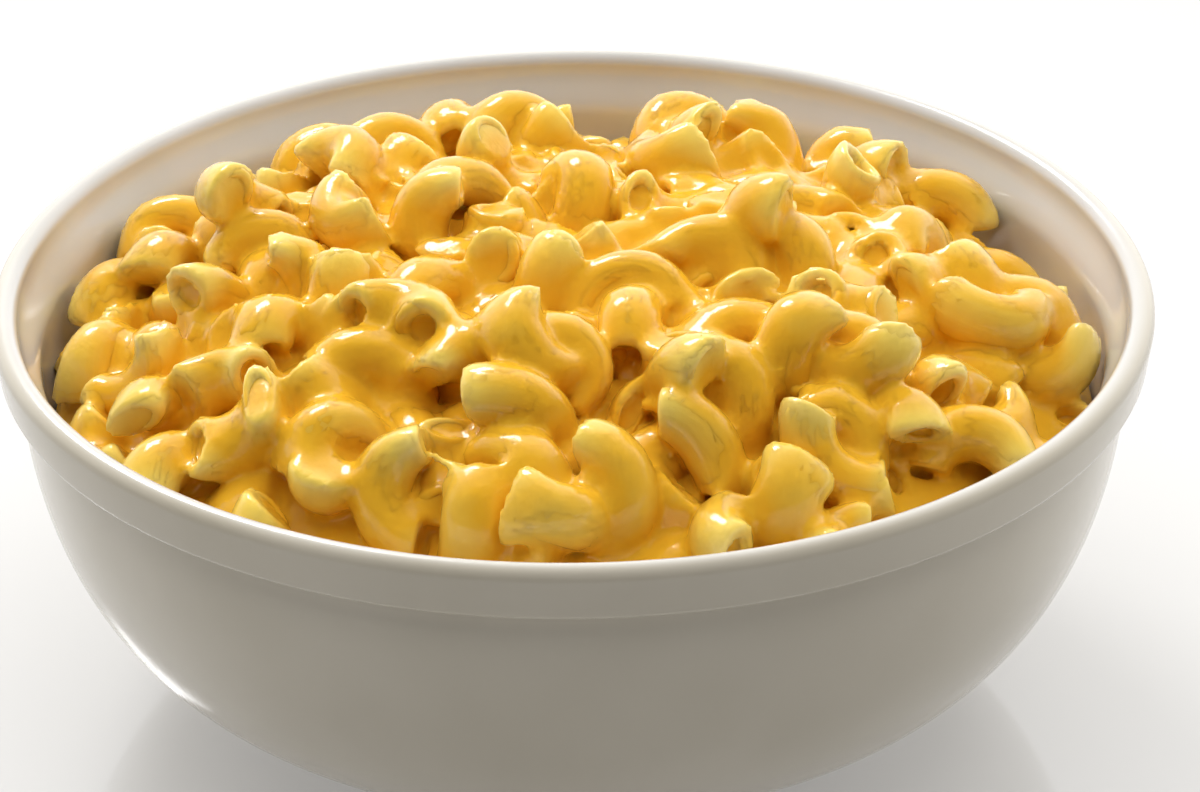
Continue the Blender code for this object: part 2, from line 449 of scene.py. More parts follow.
pourSetup = {
    "steps": 150,
    "balls": 6,  # in each elbow
    "wallGap": 5.5 * mm,  # kept free at the edge when the loose ones are let go
    "layers": 5,
    "bottom": 4.0 * mm,  # height of the lowest layer over the core, and the layers' span
    "span": 20.0 * mm,
    "jitter": 0.8 * mm,
    "fastFall": 0.35 * mm,  # a step's fall at first, and once the heap settles
    "slowFall": 0.12 * mm,
    "settle": 0.6,  # share of the steps before that
    "reach": 24.0 * mm,  # two elbows further apart than this can't touch
    "heldEase": 0.12,  # how readily a listed one gives way, where a loose one has 1
    "holdBack": 0.3,  # how strongly it is drawn back to its place
    "grip": 0.55,  # how much of a sideways slide the sauce stops
}
# the elbows on top that are listed one by one: across and back in mm, then where the outside of the
# bend points (heading and pitch), the roll about that, and the sweep of the bend, all in degrees,
# and the bend's radius in mm
handPlaced = {
    "front": [
        (54, -37, 80, 45, 5, 165, 6.6), (34, -48, -150, -35, -55, 120, 8.5),
        (36, -40, 25, 40, 55, 110, 7), (40, -26, 20, 25, 50, 120, 7), (17, -48, 15, 30, 60, 90, 9.5),
        (19, -62, 180, 0, 0, 90, 6.5), (22, -38, -15, 20, 60, 140, 6), (24, -24, 75, 50, 15, 140, 6.6),
        (6, -56, -25, 20, 65, 150, 6.5), (-13, -60, -105, 30, -85, 75, 9.5),
        (-24, -54, 170, 0, -60, 160, 6.6), (-7, -52, 15, 70, 25, 140, 6.2),
        (-13, -33, 70, 40, 40, 150, 6.8), (0, -32, 15, 25, 60, 140, 6.2),
        (-27, -30, 40, 65, 45, 140, 6.8), (-32, -44, 135, 65, -10, 150, 6.4),
        (-33, -49, 145, 50, 30, 120, 6),
    ],
    "left": [
        (-48, -26, 85, 5, -25, 120, 6), (-41, -17, 90, 60, 70, 150, 6), (-50, -5, 65, 35, 65, 110, 6.6),
        (-38, -5, 10, 15, 60, 150, 5.6), (-68, -6, -150, 70, -50, 130, 6.4),
        (-67, 15, 135, 75, 15, 130, 6.4), (-57, -26, 90, 60, 50, 120, 6.4),
        (-55, -39, 105, 70, 45, 130, 6.4), (-59, 16, 85, 55, 70, 130, 6.4),
    ],
    "middle": [
        (8, -21, 90, 70, 85, 150, 6), (-44, 10, 80, 60, 10, 150, 6.6), (-21, 10, 175, 10, -60, 160, 5.8),
        (-21, -12, 135, 70, 10, 120, 6.4), (-3, -12, -120, 25, -80, 100, 6),
        (7, -12, 90, 50, 0, 165, 6.6), (21, -3, 45, 45, 35, 150, 6.4), (33, -3, -50, 45, 70, 120, 6),
        (49, 13, 80, 55, 65, 130, 6), (57, -2, -35, 25, 65, 110, 8), (67, -2, 10, 20, 60, 165, 6.6),
        (30, 47, -10, 25, 60, 130, 6.4), (-16, 21, 90, 60, 35, 150, 6.4),
    ],
    "far": [
        (-60, 32, 105, 50, -10, 165, 6.6), (56, 39, 60, 60, 25, 130, 6.6), (41, 50, 150, 45, -50, 60, 11),
        (-39, 51, 130, 60, -20, 150, 6.4), (-19, 54, 80, 70, 80, 130, 6), (-8, 51, 60, 65, 60, 150, 6.6),
        (17, 52, 100, 50, 20, 150, 6.6), (-28, 46, 110, 45, 10, 140, 6.4),
    ],
}


def moundHeight(x, y):
    m = moundSetup
    r = np.hypot(x, y) / insideRadius(m["edge"])
    top = m["edge"] + (m["crown"] - m["edge"]) * (1.0 - np.clip(r, 0.0, 1.0) ** m["power"])
    back = np.clip((y - m["backFrom"]) / (m["backTo"] - m["backFrom"]), 0.0, 1.0)
    return top + m["backRise"] * easeIn(back)


def randomTurns(chance, count):
    # evenly spread rotations from unit quaternions
    q = chance.normal(size=(count, 4))
    w, x, y, z = (q / np.linalg.norm(q, axis=1, keepdims=True)).T
    rows = [1 - 2 * (y * y + z * z), 2 * (x * y - z * w), 2 * (x * z + y * w),
            2 * (x * y + z * w), 1 - 2 * (x * x + z * z), 2 * (y * z - x * w),
            2 * (x * z - y * w), 2 * (y * z + x * w), 1 - 2 * (x * x + y * y)]
    return np.stack(rows, 1).reshape(-1, 3, 3)


def centreLine(elbow, t):
    # points of each elbow's centre line in its own frame, t from 0 to 1 along it
    angle = elbow["sweep"][:, None] * (t - 0.5)
    middle = elbow["bend"] * np.sin(0.5 * elbow["sweep"]) / (0.5 * elbow["sweep"])
    x = elbow["bend"][:, None] * np.cos(angle) - middle[:, None]
    y = elbow["bend"][:, None] * np.sin(angle)
    z = elbow["twist"][:, None] * (t - 0.5)
    return np.stack([x, y, z + 0 * x], 2)


def placedByHand():
    # bend, sweep, place and turn of each elbow in the list
    rows, lifts = [], []
    for group, elbows in handPlaced.items():
        rows += elbows
        lifts += [pastaSetup["farLift"] if group == "far" else 0.0] * len(elbows)
    x, y, heading, pitch, roll, sweep, bend = np.array(rows, float).T
    place = np.stack([x * mm, y * mm, 0 * x], 1)
    place[:, 2] = moundHeight(place[:, 0], place[:, 1]) - pastaSetup["sunk"] + np.array(lifts)
    turns = []
    for h, p, r in zip(np.radians(heading), np.radians(pitch), np.radians(roll)):
        turn = Matrix.Rotation(h, 3, "Z") @ Matrix.Rotation(-p, 3, "Y") @ Matrix.Rotation(r, 3, "X")
        turns.append(np.array(turn))
    return bend * mm, np.radians(sweep), place, np.array(turns)


def matchedTurns(place, shape):
    # the rotation of each elbow that best carries its own shape onto its balls
    u, _, v = np.linalg.svd(np.einsum("esi,esj->eij", place - place.mean(1, keepdims=True), shape))
    u[:, :, 2] *= np.sign(np.linalg.det(u @ v))[:, None]
    return u @ v


def newElbows(chance, handBend, handSweep):
    # the sizes of every elbow, those listed first
    p = pastaSetup
    held, loose = len(handBend), p["loose"]
    count = held + loose
    return {
        "bend": np.concatenate([handBend, chance.uniform(*p["bend"], loose)]),
        "sweep": np.concatenate([handSweep, np.radians(chance.uniform(*p["sweep"], loose))]),
        "twist": np.concatenate([0.4 * p["twist"] * chance.uniform(-1, 1, held),
                                 p["twist"] * chance.uniform(-1, 1, loose)]),
        "tube": p["tube"] * chance.uniform(0.94, 1.05, count),
        "squeeze": chance.uniform(0.0, p["squeeze"], count),
        "pinch": p["pinch"] * chance.uniform(0, 1, (count, 2)) ** 1.3,
    }


def looseStart(chance, loose):
    # where the middles of the loose elbows start: a sunflower's spiral, in a few layers
    pour = pourSetup
    k = np.arange(loose)
    layer = k % pour["layers"] / pour["layers"]
    golden = math.pi * (3.0 - math.sqrt(5.0))
    spread = insideRadius(moundSetup["edge"]) - pour["wallGap"]
    r = spread * np.sqrt((k + 0.5) / loose)
    a = golden * k
    x, y = r * np.cos(a), r * np.sin(a)
    z = moundHeight(x, y) - moundSetup["shell"] + pour["bottom"] + layer * pour["span"]
    middle = np.stack([x, y, z], 1)
    return middle + chance.normal(size=middle.shape) * pour["jitter"]


def pourElbows():
    # every elbow is a row of balls held in shape, let down on the core and worked until nothing overlaps
    p = pastaSetup
    pour = pourSetup
    chance = np.random.default_rng(p["seed"])
    handBend, handSweep, handPlace, handTurn = placedByHand()
    held, loose, balls = len(handBend), p["loose"], pour["balls"]
    count = held + loose
    elbows = newElbows(chance, handBend, handSweep)
    length = elbows["bend"] * elbows["sweep"]
    inset = (0.62 * elbows["tube"] / length)[:, None]
    t = inset + (1.0 - 2.0 * inset) * np.linspace(0.0, 1.0, balls)[None, :]
    shape = centreLine(elbows, t)
    offset = shape.mean(1, keepdims=True)
    shape = shape - offset
    radius = elbows["tube"] * p["give"]

    middle = np.concatenate([handPlace, looseStart(chance, loose)])
    turns = np.concatenate([handTurn, randomTurns(chance, loose)])
    place = np.einsum("eij,esj->esi", turns, shape) + middle[:, None]
    target = place[:held].copy()
    ease = np.ones(count)  # how readily each one gives way
    ease[:held] = pour["heldEase"]

    ballRadius = np.repeat(radius, balls)
    for step in range(pour["steps"]):
        before = place.copy()
        early = step < pour["settle"] * pour["steps"]
        place[held:, :, 2] -= pour["fastFall"] if early else pour["slowFall"]
        if step % 4 == 0:
            near = place.mean(1)
            gap = np.linalg.norm(near[:, None] - near[None], axis=2)
            first, second = np.nonzero(np.triu(gap < pour["reach"], 1))
            lean = (ease[first] / (ease[first] + ease[second]))[:, None]
        touching = np.zeros(count * balls, bool)
        for _ in range(3):
            apart = place[first][:, :, None] - place[second][:, None]
            far = np.sqrt((apart ** 2).sum(3)) + 1e-9
            need = (radius[first] + radius[second])[:, None, None]
            pair, i, j = np.nonzero(far < need)
            short = (need[pair, 0, 0] - far[pair, i, j])[:, None]
            push = short * apart[pair, i, j] / far[pair, i, j][:, None]
            ballA = first[pair] * balls + i
            ballB = second[pair] * balls + j
            flat = place.reshape(-1, 3)
            hits = np.bincount(ballA, minlength=len(flat)) + np.bincount(ballB, minlength=len(flat))
            move = np.zeros_like(flat)
            for axis in range(3):
                move[:, axis] += np.bincount(ballA, (lean[pair] * push)[:, axis], len(flat))
                move[:, axis] -= np.bincount(ballB, ((1.0 - lean[pair]) * push)[:, axis], len(flat))
            flat = flat + move / np.maximum(1.0, 0.6 * hits)[:, None]
            # the core below and the bowl's wall around
            around = np.hypot(flat[:, 0], flat[:, 1])
            core = moundHeight(flat[:, 0], flat[:, 1]) - moundSetup["shell"]
            sunk = core + 0.8 * ballRadius - flat[:, 2]
            flat[:, 2] += np.maximum(0.0, sunk)
            over = around - (insideRadius(flat[:, 2]) - ballRadius)
            flat[:, :2] -= np.maximum(0.0, over)[:, None] * flat[:, :2] / np.maximum(around, 1e-9)[:, None]
            touching |= (hits > 0) | (sunk > 0) | (over > 0)
            # back to each elbow's own shape
            place = flat.reshape(count, balls, 3)
            centre = place.mean(1, keepdims=True)
            place = np.einsum("eij,esj->esi", matchedTurns(place, shape), shape) + centre
        # sauce holds what touches, and the listed ones stay near their places
        shift = place - before
        shift[:, :, :2] *= 1.0 - pour["grip"] * touching.reshape(count, balls).mean(1)[:, None, None]
        place = before + shift
        place[:held] += pour["holdBack"] * (target - place[:held])
        place = np.round(place, 8)  # keeps the result the same on every machine
    elbows["turn"] = matchedTurns(place, shape)
    elbows["place"] = place.mean(1) - np.einsum("eij,ej->ei", elbows["turn"], offset[:, 0])
    # those that lie wholly under the sauce are left out
    top = place[:, :, 2].max(1) + elbows["tube"]
    middle = place.mean(1)
    shown = top > moundHeight(middle[:, 0], middle[:, 1]) - sauceSetup["level"] + 0.8 * mm
    return {name: values[shown] for name, values in elbows.items()}


def squeezeAt(elbow, t):
    # how far each tube is pressed flat at t along it: a little in the middle, more at its pinched ends
    flat = elbow["squeeze"][:, None] * np.sin(math.pi * np.clip(t, 0, 1))
    for end, past in ((0, t), (1, 1.0 - t)):
        fade = np.clip(1.0 - 2.6 * past, 0, 1)
        flat = flat + elbow["pinch"][:, end, None] * easeIn(fade)
    return flat


def elbowRings():
    # (distance in from the end, share of the way from hole to outside) for one end, hole first
    end = [(5.6, 0.0), (4.2, 0.0), (2.2, 0.0), (0.7, 0.02), (0.15, 0.2), (0.0, 0.45), (0.22, 0.76),
           (0.75, 0.93), (1.6, 1.0)]
    return [(depth * mm, share) for depth, share in end]


def buildElbows(elbows):
    p = pastaSetup
    around, middleRows = p["around"], p["rows"]
    count = len(elbows["bend"])
    chance = np.random.default_rng(p["seed"] + 1)
    length = elbows["bend"] * elbows["sweep"]
    end = elbowRings()
    fromEnd = np.array([d for d, _ in end])
    share = np.array([s for _, s in end] + [1.0] * middleRows + [s for _, s in reversed(end)])
    rows = len(share)
    t = np.empty((count, rows))
    n = len(end)
    t[:, :n] = fromEnd / length[:, None]
    t[:, rows - n:] = 1.0 - fromEnd[::-1] / length[:, None]
    lead = (fromEnd[-1] / length)[:, None]
    t[:, n:rows - n] = lead + (1 - 2 * lead) * (np.arange(middleRows) + 1) / (middleRows + 1)
    angle = elbows["sweep"][:, None] * (t - 0.5)
    line = centreLine(elbows, t)
    radial = np.stack([np.cos(angle), np.sin(angle), 0 * angle], 2)
    along = np.stack([-np.sin(angle), np.cos(angle), 0 * angle], 2)
    side = np.zeros_like(radial)
    side[:, :, 2] = 1.0
    turn = 2 * math.pi * np.arange(around) / around
    hole = p["hole"] * chance.uniform(0.85, 1.12, count)
    outer = elbows["tube"]
    elbows["hole"] = hole
    r = hole[:, None] + (outer - hole)[:, None] * share
    squeeze = squeezeAt(elbows, t)
    # not quite round: a slight oval, and three faint sides that wander along the tube
    oval = 0.022 * np.sin(2 * turn + chance.uniform(0, 6.3, (count, 1, 1)))
    sides = 0.018 * np.sin(3 * turn + 5 * t[:, :, None] + chance.uniform(0, 6.3, (count, 1, 1)))
    r = r[:, :, None] * (1 + oval + sides)
    x = r * np.cos(turn) * (1 - squeeze)[:, :, None]
    y = r * np.sin(turn) * (1 + 0.6 * squeeze)[:, :, None]
    # slanting cuts at both ends
    slant = chance.uniform(-p["slant"], p["slant"], (2, count, 2))
    nearA = np.clip(1 - t * 3.0, 0, 1)[:, :, None]
    nearB = np.clip(1 - (1 - t) * 3.0, 0, 1)[:, :, None]
    z = nearA * (slant[0, :, 0, None, None] * x + slant[0, :, 1, None, None] * y)
    z += nearB * (slant[1, :, 0, None, None] * x + slant[1, :, 1, None, None] * y)
    local = line[:, :, None] + radial[:, :, None] * x[..., None]
    local += side[:, :, None] * y[..., None] + along[:, :, None] * z[..., None]
    world = np.einsum("eij,ekaj->ekai", elbows["turn"], local) + elbows["place"][:, None, None]
    caps = []
    for row in (0, rows - 1):
        caps.append(np.einsum("eij,ej->ei", elbows["turn"], line[:, row]) + elbows["place"])
    points = world.reshape(-1, 3)
    a = np.arange(around)
    b = (a + 1) % around
    strip = np.stack([a, b, b + around, a + around], 1)
    one = np.concatenate([strip + around * row for row in range(rows - 1)])
    quads = (one[None] + (np.arange(count) * rows * around)[:, None, None]).reshape(-1, 4)
    total = len(points)
    tris = []
    for e in range(count):
        base = e * rows * around
        tris.append(np.stack([np.full(around, total + e), base + b, base + a], 1))
        last = base + (rows - 1) * around
        tris.append(np.stack([np.full(around, total + count + e), last + a, last + b], 1))
    points = np.concatenate([points, caps[0], caps[1]])
    faces = quads.tolist() + np.concatenate(tris).tolist()
    # each elbow's own tone, and where on its tube each point lies, which the material uses
    own = chance.normal(0, p["tone"], count)
    tone = np.concatenate([np.repeat(own, rows * around), own, own])
    tubePlace = np.empty((count, rows, around, 3))
    tubePlace[..., 0] = outer[:, None, None] * np.cos(turn)
    tubePlace[..., 1] = outer[:, None, None] * np.sin(turn)
    tubePlace[..., 2] = (t * length[:, None] + chance.uniform(0, 1, (count, 1)))[:, :, None]
    tubePlace = np.concatenate([tubePlace.reshape(-1, 3), np.zeros((2 * count, 3))])
    return points, faces, tone, tubePlace


sauceSetup = {
    "voxel": 0.85 * mm,
    "thrift": 0.05,  # how readily flat stretches of the skin take larger faces
    "blend": (0.35 * mm, 1.15 * mm),  # how softly it fills the gaps, from least to most
    "under": (-0.35 * mm, 0.22 * mm),  # how far it lies under a bare tube's face, or over a coated one
    "patch": 17 * mm,  # size of the thicker and thinner patches
    "level": 9.2 * mm,  # depth under the mound's top where it has filled every gap
    "floor": 15.5 * mm,  # and where the core takes over
    "plugs": (0.3 * mm, 2.6 * mm),  # how far in a tube's hole is open
    "shut": 0.6,  # share of the holes that the sauce has closed
    "reach": 5.5 * mm,  # how far out an elbow is felt
    "wallGap": 0.35 * mm,  # between the skin and the bowl
    "seed": 23,
}
strandSetup = {
    "count": 60,
    "ends": (0.12, 0.88),  # where along an elbow they start
    "span": (5.5 * mm, 11.0 * mm),
    "depth": 6.0 * mm,
    "sag": (0.3 * mm, 2.0 * mm),
    "waist": (0.6 * mm, 1.3 * mm),  # radius at its middle
    "root": 1.8 * mm,  # and where it leaves the pasta
    "blend": 0.7 * mm,
    "reach": 5.0 * mm,
    "seed": 11,
}


def smoothNoise(chance, shape, size):
    # soft patches from 0 to 1 over a grid: random numbers blurred to the size given, in cells
    noise = chance.normal(size=shape)
    return ranked(blurred(noise, size))


def blurred(grid, cells):
    spread = np.fft.rfftn(grid)
    for axis, count in enumerate(grid.shape):
        freq = np.fft.rfftfreq(count) if axis == grid.ndim - 1 else np.fft.fftfreq(count)
        fade = np.exp(-2.0 * (math.pi * freq * cells) ** 2)
        spread = spread * fade.reshape([-1 if a == axis else 1 for a in range(grid.ndim)])
    return np.fft.irfftn(spread, grid.shape)


def ranked(grid):
    low, high = np.percentile(grid, (4, 96))
    return np.clip((grid - low) / (high - low), 0.0, 1.0)


def sauceGrid():
    s = sauceSetup
    reach = insideRadius(moundSetup["edge"]) + 2 * s["voxel"]
    low = np.array([-reach, -reach, moundSetup["edge"] - s["floor"] - 3 * s["voxel"]])
    high = np.array([reach, reach, moundSetup["crown"] + 9 * mm])
    shape = tuple(np.ceil((high - low) / s["voxel"]).astype(int) + 1)
    axes = [low[a] + s["voxel"] * np.arange(shape[a]) for a in range(3)]
    return low, shape, axes


def elbowField(elbows, e, low, shape, axes):
    # the cells near one elbow, with their distance to its axis and how far past its ends they lie
    t = np.linspace(0, 1, 9)[None, :]
    one = {name: value[e:e + 1] for name, value in elbows.items() if name != "turn"}
    line = centreLine(one, t)[0] @ elbows["turn"][e].T + elbows["place"][e]
    margin = elbows["tube"][e] + sauceSetup["reach"]
    first = np.maximum(((line.min(0) - margin - low) / sauceSetup["voxel"]).astype(int), 0)
    last = np.minimum(((line.max(0) + margin - low) / sauceSetup["voxel"]).astype(int) + 2, shape)
    if np.any(last <= first):
        return None
    window = tuple(slice(a, b) for a, b in zip(first, last))
    x, y, z = np.meshgrid(*[axes[a][window[a]] for a in range(3)], indexing="ij")
    spot = np.stack([x, y, z], -1) - elbows["place"][e]
    spot = spot @ elbows["turn"][e]
    middle = elbows["bend"][e] * math.sin(0.5 * elbows["sweep"][e]) / (0.5 * elbows["sweep"][e])
    u, v, w = spot[..., 0] + middle, spot[..., 1], spot[..., 2]
    angle = np.arctan2(v, u)
    w = w - elbows["twist"][e] * np.clip(angle / elbows["sweep"][e], -0.5, 0.5)
    out = np.hypot(u, v)
    flat = squeezeAt(one, (angle / elbows["sweep"][e] + 0.5).reshape(1, -1)).reshape(angle.shape)
    axisGap = np.sqrt(((out - elbows["bend"][e]) / (1 - flat)) ** 2 + (w / (1 + 0.6 * flat)) ** 2)
    past = (np.abs(angle) - 0.5 * elbows["sweep"][e]) * elbows["bend"][e]
    return window, axisGap, past, angle


def fillSauce(elbows, strands):
    s = sauceSetup
    low, shape, axes = sauceGrid()
    chance = np.random.default_rng(s["seed"])
    patches = smoothNoise(chance, shape, s["patch"] / s["voxel"] / 3)
    blend = s["blend"][0] + (s["blend"][1] - s["blend"][0]) * patches
    x, y = np.meshgrid(axes[0], axes[1], indexing="ij")
    around = np.hypot(x, y)[:, :, None]
    mound = moundHeight(x, y)[:, :, None]
    height = axes[2][None, None, :]
    total = np.exp(-np.clip((height - mound + s["level"]) / blend, -40, 40))
    holes = []
    for e in range(len(elbows["bend"])):
        found = elbowField(elbows, e, low, shape, axes)
        if found is None:
            continue
        window, axisGap, past, angle = found
        gap = np.maximum(axisGap - elbows["tube"][e], past)
        total[window] += np.exp(-np.clip(gap / blend[window], -40, 40))
        # the open part of its hole, from a little past the cut down to the plug of sauce
        opened = chance.uniform(*s["plugs"], 2) * (chance.uniform(size=2) > s["shut"])
        deep = np.where(angle > 0, opened[0], opened[1])
        inHole = axisGap - elbows["hole"][e] - 0.25 * mm
        nearEnd = np.abs(past + 0.5 * (deep - 1.2 * mm)) - 0.5 * (deep + 1.2 * mm)
        holes.append((window, np.maximum(inHole, nearEnd)))
    for path, radius in strands:
        addStrand(total, path, radius, low, shape, axes)
    field = -blend * np.log(total + 1e-17)
    thin = s["under"][0] + (s["under"][1] - s["under"][0]) * (1 - ranked(smoothNoise(chance, shape, 4.5)))
    field += thin
    for window, hole in holes:
        field[window] = np.maximum(field[window], -hole)
    wall = insideRadius(height) - s["wallGap"]
    field = np.maximum(field, around - wall)
    field = np.maximum(field, mound - s["floor"] - height)
    field = np.clip(field, -3 * s["voxel"], 3 * s["voxel"])
    return low, field


def addStrand(total, path, radius, low, shape, axes):
    # a thread of cheese: overlapping balls along a path, thinner in the middle
    blend, reach = strandSetup["blend"], strandSetup["reach"]
    for spot, size in zip(path, radius):
        first = np.maximum(((spot - reach - low) / sauceSetup["voxel"]).astype(int), 0)
        last = np.minimum(((spot + reach - low) / sauceSetup["voxel"]).astype(int) + 2, shape)
        if np.any(last <= first):
            continue
        window = tuple(slice(a, b) for a, b in zip(first, last))
        x, y, z = np.meshgrid(*[axes[a][window[a]] for a in range(3)], indexing="ij")
        gap = np.sqrt((x - spot[0]) ** 2 + (y - spot[1]) ** 2 + (z - spot[2]) ** 2) - size
        total[window] = np.maximum(total[window], np.exp(-np.clip(gap / blend, -40, 40)))


def cheeseStrands(elbows):
    # threads of melted cheese from one elbow to the next across the gap between them
    s = strandSetup
    chance = np.random.default_rng(s["seed"])
    ends = np.array([s["ends"]])
    count = len(elbows["bend"])
    spots = centreLine(elbows, np.repeat(ends, count, 0))
    spots = np.einsum("eij,esj->esi", elbows["turn"], spots) + elbows["place"][:, None]
    owner = np.repeat(np.arange(count), 2)
    spots = spots.reshape(-1, 3)
    spots = spots + 0.35 * elbows["tube"][owner][:, None] * np.array([0, 0, 1.0])
    depth = moundHeight(spots[:, 0], spots[:, 1]) - spots[:, 2]
    gap = np.linalg.norm(spots[:, None] - spots[None], axis=2)
    fits = (gap > s["span"][0]) & (gap < s["span"][1]) & (owner[:, None] != owner[None])
    fits &= (depth < s["depth"])[:, None] & (depth < s["depth"])[None]
    first, second = np.nonzero(np.triu(fits, 1))
    strands = []
    for k in chance.permutation(len(first))[:s["count"]]:
        a, b = spots[first[k]], spots[second[k]]
        t = np.linspace(0, 1, 22)[:, None]
        path = a + (b - a) * t
        path[:, 2] -= chance.uniform(*s["sag"]) * 4 * (t * (1 - t))[:, 0]
        waist = chance.uniform(*s["waist"])
        strands.append((path, waist + (s["root"] - waist) * np.abs(2 * t[:, 0] - 1) ** 2.5))
    return strands


def skinOf(field, low):
    grid = openvdb.FloatGrid(3 * sauceSetup["voxel"])
    grid.copyFromArray(np.ascontiguousarray(field, np.float32))
    grid.transform = openvdb.createLinearTransform(sauceSetup["voxel"])
    points, triangles, quads = grid.convertToPolygons(isovalue=0.0, adaptivity=sauceSetup["thrift"])
    return points.astype(float) + low, triangles[:, ::-1].tolist() + quads[:, ::-1].tolist()


def sampled(grid, low, points):
    # the grid's value at each point, blended between cells
    spot = (points - low) / sauceSetup["voxel"]
    spot = np.clip(spot, 0, np.array(grid.shape) - 1.001)
    cell = spot.astype(int)
    part = spot - cell
    value = np.zeros(len(points))
    for corner in range(8):
        step = [(corner >> a) & 1 for a in range(3)]
        weight = np.prod([part[:, a] if step[a] else 1 - part[:, a] for a in range(3)], axis=0)
        value += weight * grid[cell[:, 0] + step[0], cell[:, 1] + step[1], cell[:, 2] + step[2]]
    return value


cheeseLook = {
    "stops": [
        (0.04, (0.90, 0.73, 0.32)),  # bare, pale pasta on the tops, paler still with painted light
        (0.30, (0.86, 0.66, 0.19)),
        (0.62, (0.83, 0.59, 0.105)),
        (0.96, (0.78, 0.42, 0.024)),  # sauce lying in the gaps, darker with painted shade
    ],
    "patches": 95.0,  # noise sizes, per metre
    "grain": 260.0,
    "curds": 720.0,
    "streaks": (900.0, 900.0, 55.0),  # round the tube, and along it
    "shade": 0.22,  # how much the patches shift the colour
    "fine": 0.08,  # and the grain and the streaks
    "roughness": (0.09, 0.16),  # at its smoothest, and what the grain adds
    "curdPatches": (0.48, 0.62),  # where curds start to show, and where they are full
    "curdHeight": 0.9,  # against the grain's height
    "streakHeight": 0.4,
    "bump": 0.35 * mm,
    "bumpStrength": 0.3,
}


def cheeseGroup():
    # turns how much sauce and painted shade there is into a colour, a roughness and a height
    look = cheeseLook
    given = [("SauceAndShade", 0.4), ("Tone", 0.0), ("Streaks", 0.0)]
    made = [("Color", "Color"), ("Roughness", "Float"), ("Height", "Float")]
    group, inside, outside = newGroup("cheeseCoat", given, made)
    mottle = addNode(group, "ShaderNodeGroup", node_tree=softMottle)
    mottle.inputs["Patch Scale"].default_value = look["patches"]
    mottle.inputs["Grain Scale"].default_value = look["grain"]
    shift = addMath(group, "MULTIPLY_ADD", mottle.outputs["Patches"], look["shade"], -0.5 * look["shade"])
    amount = addMath(group, "ADD", inside["SauceAndShade"], addMath(group, "ADD", shift, inside["Tone"]))
    fine = addMath(group, "MULTIPLY_ADD", mottle.outputs["Grain"], look["fine"], -0.5 * look["fine"])
    lines = addMath(group, "MULTIPLY_ADD", inside["Streaks"], look["fine"], -0.5 * look["fine"])
    amount = addMath(group, "ADD", addMath(group, "ADD", amount, fine), lines, clamp=True)
    group.links.new(addRamp(group, amount, look["stops"]), outside["Color"])
    smoothest, added = look["roughness"]
    rough = addMath(group, "MULTIPLY_ADD", mottle.outputs["Grain"], added, smoothest)
    group.links.new(rough, outside["Roughness"])
    # small curds of unmelted cheese, only here and there
    curds = addNoise(group, addNode(group, "ShaderNodeTexCoord").outputs["Object"], look["curds"], 1.0)
    start, full = look["curdPatches"]
    some = addNode(group, "ShaderNodeMapRange", {
        "Value": mottle.outputs["Patches"], "From Min": start, "From Max": full,
    }).outputs["Result"]
    lumps = addMath(group, "MULTIPLY", addMath(group, "MULTIPLY", curds, some), look["curdHeight"])
    height = addMath(group, "MULTIPLY_ADD", inside["Streaks"], look["streakHeight"], mottle.outputs["Grain"])
    group.links.new(addMath(group, "ADD", height, lumps), outside["Height"])
    return group


cheeseCoat = cheeseGroup()


def attributeNode(tree, name):
    return addNode(tree, "ShaderNodeAttribute", attribute_name=name)


def foodMaterial(name, tube):
    # tube adds what only the pasta has: its own tone, and faint lines along it left by the die
    surface, tree, shader = newMaterial(name)
    coat = addNode(tree, "ShaderNodeGroup", node_tree=cheeseCoat)
    tree.links.new(attributeNode(tree, "sauce").outputs["Fac"], coat.inputs["SauceAndShade"])
    if tube:
        tree.links.new(attributeNode(tree, "tone").outputs["Fac"], coat.inputs["Tone"])
        spot = attributeNode(tree, "tubePlace").outputs["Vector"]
        stretched = addNode(tree, "ShaderNodeMapping", {"Vector": spot, "Scale": cheeseLook["streaks"]})
        tree.links.new(addNoise(tree, stretched.outputs["Vector"], 1.0, 2.0), coat.inputs["Streaks"])
    else:
        coat.inputs["Streaks"].default_value = 0.5
    bump = addNode(tree, "ShaderNodeBump", {
        "Strength": cheeseLook["bumpStrength"], "Distance": cheeseLook["bump"],
        "Height": coat.outputs["Height"],
    })
    tree.links.new(coat.outputs["Color"], shader.inputs["Base Color"])
    tree.links.new(coat.outputs["Roughness"], shader.inputs["Roughness"])
    tree.links.new(bump.outputs["Normal"], shader.inputs["Normal"])
    shader.subsurface_method = "BURLEY"  # quicker than a random walk, and as soft on pieces this small
    setShader(shader, {
        "Subsurface Weight": 0.8,
        "Subsurface Radius": (1.0, 0.95, 0.55),
        "Subsurface Scale": 0.8 * mm,
        "Specular IOR Level": 0.4,
        "Coat Weight": 0.45,
        "Coat Roughness": 0.05,
        "IOR": 1.4,
    })
    return surface


def vertexValues(piece, name):
    values = np.empty(len(piece.data.vertices) * 3)
    piece.data.vertices.foreach_get(name, values)
    return values.reshape(-1, 3)


def addValues(piece, name, values, kind="FLOAT"):
    attribute = piece.data.attributes.new(name, kind, "POINT")
    field = "value" if kind == "FLOAT" else "vector"
    attribute.data.foreach_set(field, np.asarray(values, np.float32).ravel())


markSetup = {
    "reach": 2.8 * mm,  # how far round a spot is felt
    "lift": 1.5 * mm,  # how far off the surface that is measured
    "deep": 12.0 * mm,  # all is shut in below this depth
    "free": 0.19,  # how shut in a free tip is
    "gain": 1.9,
    "paintedTopAndUnderShade": 0.26,  # painted light and shade: faces turned up are made paler, faces turned down more orange
    "level": 0.45,
}


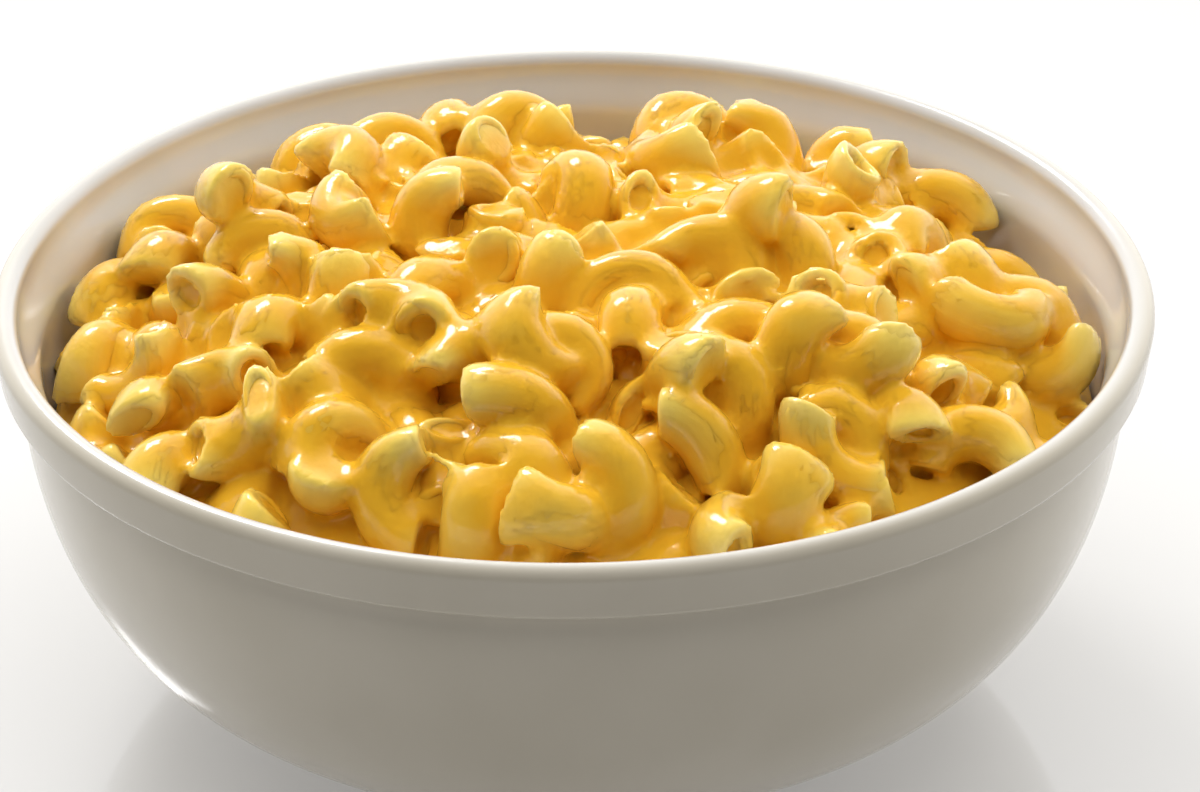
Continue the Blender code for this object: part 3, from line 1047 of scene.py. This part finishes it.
def markSauceAndShade(pieces, field, low):
    # how shut in each spot is, from 0 on a free tip to 1 deep in a gap, which is where sauce lies and where
    # painted shade makes the colour deeper and darker
    m = markSetup
    cell = sauceSetup["voxel"]
    full = np.clip(0.5 - field / cell, 0.0, 1.0)
    across = [low[a] + cell * np.arange(field.shape[a]) for a in range(3)]
    x, y = np.meshgrid(across[0], across[1], indexing="ij")
    deep = across[2][None, None, :] < (moundHeight(x, y) - m["deep"])[:, :, None]
    near = blurred(np.maximum(full, deep), m["reach"] / cell)
    for piece in pieces:
        facing = vertexValues(piece, "normal")
        spots = vertexValues(piece, "co") + m["lift"] * facing
        amount = m["gain"] * (sampled(near, low, spots) - m["free"])
        # painted light and shade: tops paler, undersides more orange
        amount += m["paintedTopAndUnderShade"] * (m["level"] - facing[:, 2])
        addValues(piece, "sauce", np.clip(amount, 0, 1))


def coreOutline():
    # the solid food under the elbows, a hair inside the bowl
    gap = 0.3 * mm
    depth = sauceSetup["floor"] - 2.0 * mm  # it reaches a little way up into the sauce
    b = bowlSetup
    line = [(0.0, b["bodyTop"] - b["bodyDepth"] + b["floorWall"] + gap)]
    inside = b["body"] - b["wall"] - gap
    inner = bodyCurve(inside, b["bodyDepth"] - b["floorWall"] - gap, b["floorFlat"], b["curveSteps"])
    edge = moundSetup["edge"] - depth
    line += [spot for spot in reversed(inner) if spot[1] < edge]
    reach = insideRadius(edge) - gap
    line += [(float(r), float(moundHeight(r, 0.0) - depth)) for r in reach * np.linspace(1.0, 0.05, 24)]
    line.append((0.0, float(moundHeight(0.0, 0.0) - depth)))
    return line


def makeFood():
    elbows = pourElbows()
    say("%d elbows poured" % len(elbows["bend"]))
    points, faces, tone, tubePlace = buildElbows(elbows)
    pasta = meshObject("elbowMacaroni", points, faces)
    addValues(pasta, "tone", tone)
    addValues(pasta, "tubePlace", tubePlace, "FLOAT_VECTOR")
    low, field = fillSauce(elbows, cheeseStrands(elbows))
    sauce = meshObject("cheeseSauce", *skinOf(field, low))
    core = turned("cheeseCore", coreOutline(), 96)
    # the core lies deepest: it takes the full sauce colour, with its painted shade
    addValues(core, "sauce", np.ones(len(core.data.vertices)))
    markSauceAndShade((pasta, sauce), field, low)
    pasta.data.materials.append(foodMaterial("cookedPasta", True))
    melted = foodMaterial("meltedCheese", False)
    sauce.data.materials.append(melted)
    core.data.materials.append(melted)
    for piece in (pasta, sauce, core):
        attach(piece, "root")
        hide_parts("macaroni_heap")
        triangles = sum(len(face.vertices) - 2 for face in piece.data.polygons)
        say("%s ready, %d triangles" % (piece.name, triangles))


makeFood()
